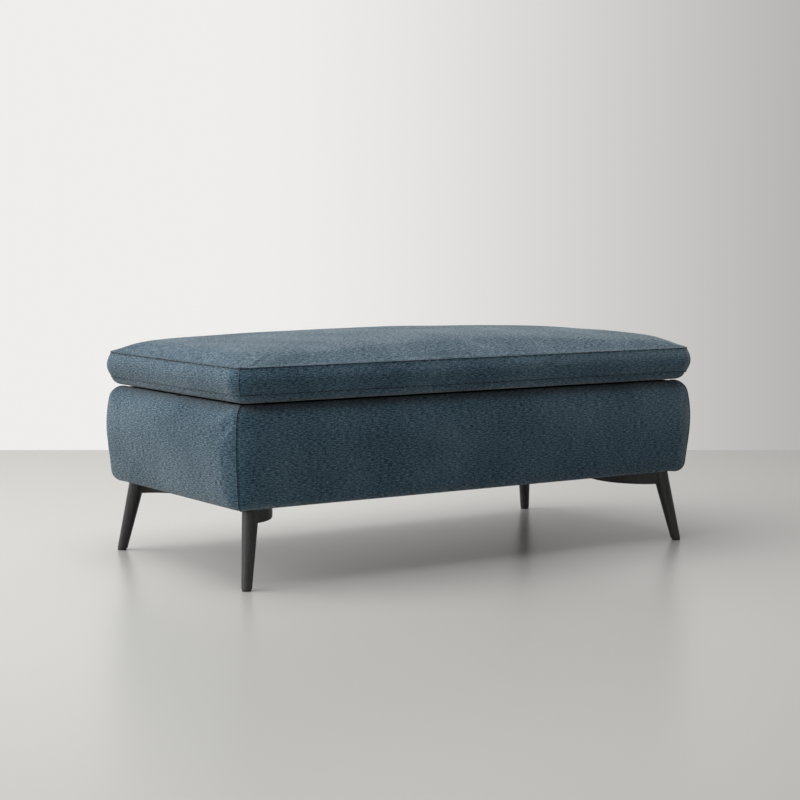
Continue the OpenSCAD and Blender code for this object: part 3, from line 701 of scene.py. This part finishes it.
def flat_sheet(name, half, corner_r, z, seed):
    """A stretched sheet with round corners as a closed thin solid, seen from below. Rings of a
    rounded rectangle shrink to the middle, and the seen side has slow waves."""
    core = np.array(half) - corner_r
    columns = wrap_columns(*core, 0.02, 8)
    edge = wrap_points(columns, core, [corner_r], [z])[0]
    share = np.linspace(0.004, 1, SHEET_RINGS)[::-1]
    grid = np.concatenate([edge[None, :, :2] * share[:, None, None],
                           np.full((SHEET_RINGS, len(edge), 1), z)], -1)
    wave = slow_waves(grid[..., 0], grid[..., 1], 0, seed, 0.11)
    inner = np.clip((1 - share) / 0.06, 0, 1)[:, None]
    grid[..., 2] -= inner * 0.0007 * wave
    other = grid.copy()
    other[..., 2] += SHEET_T
    points = np.concatenate([grid, other[::-1]])
    rows, cols = points.shape[:2]
    faces = grid_faces(rows, cols, close_rows=True)
    mid = (SHEET_RINGS - 1) * cols
    kept = faces[~((faces[:, 0] >= mid) & (faces[:, 0] < mid + cols))]
    ends = [list(range(mid, mid + cols)), list(range(mid + 2 * cols - 1, mid + cols - 1, -1))]
    return new_piece(name, points, kept[:, ::-1], [end[::-1] for end in ends])


dust_low, dust_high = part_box("dust_cover")
dust_piece = flat_sheet("dust_cover_cloth", (dust_high.x, dust_high.y), 0.006, dust_low.z + 0.0001, 21)
dust_piece.data.materials.append(black_fleece)
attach(dust_piece, "base")
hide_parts("dust_cover")

STAPLE_HALF_L = 0.0050
STAPLE_HALF_W = 0.0006
STAPLE_T = 0.0006
STAPLE_INSET = 0.012
STAPLE_SPACING = 0.045
STAPLE_TURN = 0.12


def staple_mesh(name, half, z, seed):
    """Staple crowns in a row round a rectangle: thin boxes that lie just under the height z,
    nearly in line with the edge, each turned by a small seeded angle."""
    rng = np.random.default_rng(seed)
    reach = np.array(half) - STAPLE_INSET
    corners = np.array([(1, 1), (-1, 1), (-1, -1), (1, -1), (1, 1)]) * reach
    spots, turns = [], []
    for start, end in zip(corners[:-1], corners[1:]):
        length = np.linalg.norm(end - start)
        count = int(length / STAPLE_SPACING)
        t = (np.arange(count)[:, None] + 0.5) / count
        spots.append(start + (end - start) * t)
        turns.append(np.full(count, np.arctan2(*(end - start)[::-1])))
    spots, turns = np.concatenate(spots), np.concatenate(turns)
    turns = turns + rng.uniform(-STAPLE_TURN, STAPLE_TURN, len(turns))
    box = np.array([(x, y, h) for h in (0, 1) for x, y in ((-1, -1), (1, -1), (1, 1), (-1, 1))])
    box = box * (STAPLE_HALF_L, STAPLE_HALF_W, STAPLE_T)
    c, s = np.cos(turns)[:, None], np.sin(turns)[:, None]
    points = np.stack([spots[:, :1] + c * box[:, 0] - s * box[:, 1],
                       spots[:, 1:] + s * box[:, 0] + c * box[:, 1],
                       np.broadcast_to(z - STAPLE_T + box[:, 2], (len(spots), 8))], -1)
    sides = np.array([(3, 2, 1, 0), (4, 5, 6, 7), (0, 1, 5, 4), (1, 2, 6, 5), (2, 3, 7, 6), (3, 0, 4, 7)])
    faces = (np.arange(len(spots))[:, None, None] * 8 + sides).reshape(-1, 4)
    mesh = bpy.data.meshes.new(name)
    mesh.from_pydata(points.reshape(-1, 3).tolist(), [], faces.tolist())
    piece = bpy.data.objects.new(name, mesh)
    bpy.context.scene.collection.objects.link(piece)
    return piece


dust_staples = staple_mesh("dust_cover_staples", (dust_high.x, dust_high.y), dust_low.z, 41)

# ---------------------------------------------------------------- Hinges, screws and bumpers
# Two friction butt hinges of zinc plated steel, each with a riveted pin, sit in the notch
# behind the lid. Countersunk screws hold their leaves, and black pan screws the leg arms. The
# staples of the dust cover are zinc plated too.


def steel_material(name, dark, pale):
    """Plated steel: fine brushing along X in its roughness and surface, and a passivated cloudiness in its
    colour.
    """
    made, tree, shader = new_material(name, metallic=1.0)
    place = add_node(tree, "ShaderNodeTexCoord").outputs["Object"]
    brushed = add_noise(tree, stretched(tree, place, (60, 2400, 2400)), 1.0, 3, 0.6)
    cloud = add_noise(tree, place, 110, 3, 0.6)
    ramp = add_node(tree, "ShaderNodeValToRGB")
    ramp.color_ramp.elements[0].color = dark
    ramp.color_ramp.elements[1].color = pale
    tree.links.new(cloud, ramp.inputs["Fac"])
    tree.links.new(ramp.outputs["Color"], shader.inputs["Base Color"])
    tree.links.new(add_math(tree, "ADD", add_math(tree, "MULTIPLY", brushed, 0.22), 0.24),
                   shader.inputs["Roughness"])
    add_bump(tree, shader, brushed, 0.00004)
    return made


zinc = steel_material("zinc plated steel", (0.42, 0.42, 0.41, 1), (0.66, 0.66, 0.67, 1))
black_steel = steel_material("black plated steel", (0.025, 0.025, 0.026, 1), (0.06, 0.06, 0.062, 1))
base_steel = ["left_hinge_box_leaf", "right_hinge_box_leaf", "left_hinge_pin", "right_hinge_pin",
              "hinge_box_screws", "arm_screws"]
lid_steel = ["left_hinge_lid_leaf", "right_hinge_lid_leaf", "hinge_lid_screws"]
for body, names in (("base", base_steel), ("lid", lid_steel)):
    for name in names:
        piece = finished_copy(name, f"plated_{name}", 0.00025, body)
        piece.data.materials.append(black_steel if name == "arm_screws" else zinc)
dust_staples.data.materials.append(zinc)
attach(dust_staples, "base")
bumper_rubber = speckled_material("black bumper rubber", (0.022, 0.022, 0.022), 0.7, 700, 0.15, 0.0001)
bumper_piece = finished_copy("bumpers", "rubber_bumpers", 0.001, "base")
bumper_piece.data.materials.append(bumper_rubber)

# ---------------------------------------------------------------- Lid cushion
# A boxed cushion of foam on a plywood board: a domed top panel, a boxing strip in four
# pieces joined at the corners, and a lower band that rolls in under the board, all in the
# same blue cloth with plain seams.

seam_low, seam_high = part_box("lid_cover")
LID_BELLY = 0.011
LID_CORNER_R = 0.030
ROLL_H = 0.018
ROLL_IN = 0.025
BOXING_H = 0.052
HEM_IN = 0.016
LID_CAP = 0.003
lid_seam = (seam_high.x - LID_BELLY, seam_high.y - LID_BELLY)
lid_core = (lid_seam[0] - LID_CORNER_R, lid_seam[1] - LID_CORNER_R)
low_seam_z = seam_low.z + ROLL_H
top_seam_z = low_seam_z + BOXING_H
CROWN_H = seam_high.z - top_seam_z - 0.001
CROWN_POWER = (1.3, 4.5)
CROWN_FULLNESS = (0.20, 0.68)


def side_sections():
    """The lid's side from the top seam down, as sections of (out from the seam line, height):
    the boxing, which is a parabola of belly height, then the roll, a quarter of an ellipse, then
    the flat hem. Points crowd together at the seams."""
    s = dense_ends(30)[::-1]
    boxing = np.stack([4 * LID_BELLY * s * (1 - s), low_seam_z + BOXING_H * s], -1)
    a = np.pi / 2 * dense_ends(16)[::-1]
    roll = np.stack([ROLL_IN * (np.sin(a) - 1), low_seam_z - ROLL_H * np.cos(a)], -1)
    hem = np.stack([-ROLL_IN - HEM_IN * np.linspace(0, 1, 6), np.full(6, seam_low.z)], -1)
    return boxing, roll, hem


def crown_height(x, y):
    """Height above the top seam of a well filled cushion: the crown times a power of (one less
    a power of the way out in x), times the same in y with its own powers. The powers make it
    stand up steeply at the two ends and fall in a long curve to the front and the back."""
    fall_x = 1 - np.clip(np.abs(x) / lid_seam[0], 0, 1) ** CROWN_POWER[0]
    fall_y = 1 - np.clip(np.abs(y) / lid_seam[1], 0, 1) ** CROWN_POWER[1]
    return CROWN_H * fall_x ** CROWN_FULLNESS[0] * fall_y ** CROWN_FULLNESS[1]


lid_columns = wrap_columns(*lid_core, SIDE_STEP, CORNER_COUNT)
boxing, roll, hem = side_sections()
seam_ring = wrap_points(lid_columns, lid_core, [LID_CORNER_R], [top_seam_z])[0]
TOP_ROWS = 64
SEAM_EASE = 40
share = 1 - (np.arange(1, TOP_ROWS + 1) / TOP_ROWS) ** 2.1
share = np.concatenate([share[:-1], [0.004]])[::-1]
top_grid = np.concatenate([seam_ring[None, :, :2] * share[:, None, None],
                           np.zeros((TOP_ROWS, len(seam_ring), 1))], -1)
rise = 1 - share[:, None] ** SEAM_EASE
top_grid[..., 2] = top_seam_z + crown_height(top_grid[..., 0], top_grid[..., 1]) * rise ** CROWN_FULLNESS[0]
side_path = np.concatenate([boxing, roll[1:], hem[1:]])
side_grid = wrap_points(lid_columns, lid_core, LID_CORNER_R + side_path[:, 0], side_path[:, 1])
lid_skin = np.concatenate([top_grid, side_grid])
low_row = TOP_ROWS + len(boxing) - 1
run_down = run_length(lid_skin, 0)
seam_down = np.abs(run_down[:, None] - run_down[TOP_ROWS])
low_down = np.abs(run_down[:, None] - run_down[low_row])
edge_gap = np.sqrt(((lid_skin[:TOP_ROWS, :, :2] - seam_ring[None, :, :2]) ** 2).sum(-1)
                   + (lid_skin[:TOP_ROWS, :, 2] - top_seam_z) ** 2)
top_gap = np.concatenate([edge_gap, np.broadcast_to(seam_down[TOP_ROWS:], side_grid.shape[:2])])
low_gap = np.broadcast_to(low_down, lid_skin.shape[:2]).copy()
low_gap[:TOP_ROWS] = 1.0
corner_gap = np.nan_to_num(np.abs(lid_columns[2]), nan=1.0)[None] * (LID_CORNER_R + np.concatenate(
    [np.full(TOP_ROWS, 9.0), np.maximum(side_path[:, 0], 0.003 - LID_CORNER_R)]))[:, None]
corner_gap[:TOP_ROWS] = 1.0
corner_gap[low_row + 2:] = 1.0
lid_facing = grid_normals(lid_skin)
lid_sunk = (0.0019 * near(top_gap, 0.0013) + 0.0012 * near(top_gap, 0.006)
            + 0.0016 * near(low_gap, 0.0012) + 0.0009 * near(low_gap, 0.006)
            + 0.0015 * near(corner_gap, 0.0012) + 0.0008 * near(corner_gap, 0.009))
lid_ring_run = run_length(np.concatenate([side_grid, side_grid[:, :1]], 1)[len(boxing) // 2][None], 1)
lid_puff = 0.0010 * slow_waves(*np.moveaxis(lid_skin, -1, 0), 5, 0.19)
lid_puff += (0.0003 * slow_waves(*np.moveaxis(lid_skin, -1, 0), 6, 0.045)
             * near(np.minimum(top_gap, low_gap), 0.03))
lid_free = 1 - np.maximum(near(top_gap, 0.008), np.maximum(near(low_gap, 0.008), near(corner_gap, 0.012)))
off_board = np.clip((lid_skin[..., 2] - seam_low.z) / 0.012, 0, 1)
lid_move = settled_grid(lid_skin, 1 - lid_free * off_board, LID_CAP, caps=True)
lid_skin = lid_skin + lid_move * (lid_free * off_board)[..., None]
lid_skin = lid_skin + lid_facing * (lid_puff * lid_free * off_board - lid_sunk)[..., None]
# Mask of the shade painted into the colour along the lid's top, low and corner seams.
lid_seam_shade = np.maximum(near(top_gap, SEAM_SHADE_W), np.maximum(near(low_gap, 0.0013), near(corner_gap, 0.0013)))
lid_back = wrap_points(lid_columns, lid_core, [LID_CORNER_R - ROLL_IN - HEM_IN] * 2,
                       [seam_low.z + 0.0018, seam_low.z + 0.0019])
lid_back[1, :, :2] *= 0.004
lid_points = np.concatenate([lid_skin, lid_back])
lid_rows, lid_cols = lid_points.shape[:2]


def lid_uv():
    """Cloth UVs of the lid: plan coordinates on the top panel, and the run round and down on the
    strips, moved by their own amount for each strip."""
    rows = lid_rows - 1
    strips = panel_uv(lid_ring_run, np.concatenate([run_down, run_down[-1] + 0.002 * np.arange(1, 3)]),
                      (rows, lid_cols), lid_columns, 0.613)
    plan = lid_points[..., :2]
    after = np.roll(plan, -1, 1)
    top = np.stack([plan[:rows], after[:rows], after[1:rows + 1], plan[1:rows + 1]], 2)
    strips[low_row:] += 2.31
    return np.where((np.arange(rows) < TOP_ROWS)[:, None, None, None], top, strips)


middle = list(range(lid_cols))
bottom = list(range((lid_rows - 1) * lid_cols, lid_rows * lid_cols))
lid_uv_faces = lid_uv()[..., ::-1, :].reshape(-1, 2)
cap_uv = np.concatenate([lid_points[0, :, :2], lid_points[-1, ::-1, :2]])
lid_piece = new_piece(
    "lid_cushion", lid_points, grid_faces(lid_rows, lid_cols)[:, ::-1], [middle, bottom[::-1]],
    seam=np.concatenate([lid_seam_shade, np.zeros(lid_back.shape[:2])]),
    cloth_uv=np.concatenate([lid_uv_faces, cap_uv]))
lid_piece.data.materials.append(blue_cloth)
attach(lid_piece, "lid")
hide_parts("lid_cover", "lid_foam")

# ---------------------------------------------------------------- Lid lining
# A sheet of the black lining cloth closes the underside of the lid. It is stapled round its
# edge over the cover's hem, and the leaves of the hinges are screwed on over it.

under_low, under_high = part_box("lid_lining")
under_piece = flat_sheet("lid_lining_cloth", (under_high.x, under_high.y), 0.046, under_low.z + 0.0001, 31)
under_piece.data.materials.append(black_fleece)
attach(under_piece, "lid")
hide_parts("lid_lining")

lid_staples = staple_mesh("lid_lining_staples", (under_high.x, under_high.y), under_low.z, 42)
lid_staples.data.materials.append(zinc)
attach(lid_staples, "lid")

# ---------------------------------------------------------------- Studio
# A plain pale floor, a large soft box to the left, another overhead, a pale surround that
# falls off to the right, and a camera at a low three-quarter view.

CAMERA_PLACE = np.array([-2.3108, -3.4986, 0.7109])
CAMERA_TILT = math.radians(5.25)
CAMERA_TURN = math.radians(33.34)
FLOOR_AHEAD = 5.99
FLOOR_REACH = 12
ahead = np.array([math.sin(CAMERA_TURN), math.cos(CAMERA_TURN), 0])
beside = np.array([math.cos(CAMERA_TURN), -math.sin(CAMERA_TURN), 0])
under_camera = CAMERA_PLACE * (1, 1, 0)
floor_corners = [under_camera + ahead * along + beside * across
                 for along, across in ((-FLOOR_REACH, -FLOOR_REACH), (-FLOOR_REACH, FLOOR_REACH),
                                       (FLOOR_AHEAD, FLOOR_REACH), (FLOOR_AHEAD, -FLOOR_REACH))]
floor_mesh = bpy.data.meshes.new("studio_floor")
floor_mesh.from_pydata([tuple(corner) for corner in floor_corners], [], [(0, 1, 2, 3)])
floor = bpy.data.objects.new("studio_floor", floor_mesh)
bpy.context.scene.collection.objects.link(floor)
floor_finish, _, floor_shader = new_material("pale studio floor", roughness=0.30, Specular_IOR_Level=0.35)
floor_shader.inputs["Base Color"].default_value = (0.470, 0.465, 0.450, 1)
floor_mesh.materials.append(floor_finish)


def add_area_light(name, place, target, size, power, colour):
    """A rectangular soft box at place, turned to face target."""
    lamp = bpy.data.lights.new(name, "AREA")
    lamp.shape = "RECTANGLE"
    lamp.size, lamp.size_y = size
    lamp.energy = power
    lamp.color = colour
    holder = bpy.data.objects.new(name, lamp)
    bpy.context.scene.collection.objects.link(holder)
    holder.location = place
    way = np.array(target, float) - np.array(place, float)
    holder.rotation_euler = (math.atan2(math.hypot(way[0], way[1]), -way[2]), 0,
                             math.atan2(way[1], way[0]) - math.pi / 2)


add_area_light("left soft box", (-4.0, 1.5, 2.3), (0, 0, 0.3), (4.4, 3.4), 140, (1.0, 0.99, 0.97))
add_area_light("top soft box", (-0.8, 0.1, 3.4), (0, 0, 0.3), (3.4, 3.0), 98, (1.0, 1.0, 1.0))

world = bpy.data.worlds.new("pale surround")
bpy.context.scene.world = world
world.use_nodes = True
sky = world.node_tree
surround = sky.nodes["Background"]
seen_way = sky.nodes.new("ShaderNodeTexCoord").outputs["Generated"]
rightward = sky.nodes.new("ShaderNodeVectorMath")
rightward.operation = "DOT_PRODUCT"
sky.links.new(seen_way, rightward.inputs[0])
rightward.inputs[1].default_value = tuple(beside)
falling = sky.nodes.new("ShaderNodeMapRange")
falling.interpolation_type = "SMOOTHSTEP"
falling.inputs["From Min"].default_value = -0.10
falling.inputs["From Max"].default_value = 0.34
sky.links.new(rightward.outputs["Value"], falling.inputs["Value"])
wall = add_node(sky, "ShaderNodeMix")
wall.data_type = "RGBA"
wall.inputs["A"].default_value = (0.86, 0.852, 0.836, 1)
wall.inputs["B"].default_value = (0.36, 0.355, 0.347, 1)
sky.links.new(falling.outputs["Result"], wall.inputs["Factor"])
wallward = sky.nodes.new("ShaderNodeVectorMath")
wallward.operation = "DOT_PRODUCT"
sky.links.new(seen_way, wallward.inputs[0])
wallward.inputs[1].default_value = tuple(0.85 * ahead - 0.53 * beside)
bounce = sky.nodes.new("ShaderNodeMapRange")
bounce.inputs["From Min"].default_value = -1
bounce.inputs["From Max"].default_value = 1
bounce.inputs["To Min"].default_value = 0.10
bounce.inputs["To Max"].default_value = 0.72
sky.links.new(wallward.outputs["Value"], bounce.inputs["Value"])
fill = add_node(sky, "ShaderNodeMix")
fill.data_type = "RGBA"
sky.links.new(bounce.outputs["Result"], fill.inputs["B"])
sky.links.new(sky.nodes.new("ShaderNodeLightPath").outputs["Is Diffuse Ray"], fill.inputs["Factor"])
sky.links.new(wall.outputs["Result"], fill.inputs["A"])
sky.links.new(fill.outputs["Result"], surround.inputs["Color"])

camera_data = bpy.data.cameras.new("three-quarter camera")
camera_data.lens = 85.05
camera_data.sensor_width = 36
camera = bpy.data.objects.new("three-quarter camera", camera_data)
bpy.context.scene.collection.objects.link(camera)
camera.location = CAMERA_PLACE
camera.rotation_euler = (math.pi / 2 - CAMERA_TILT, 0, -CAMERA_TURN)
bpy.context.scene.camera = camera
bpy.context.scene.view_settings.view_transform = "Standard"
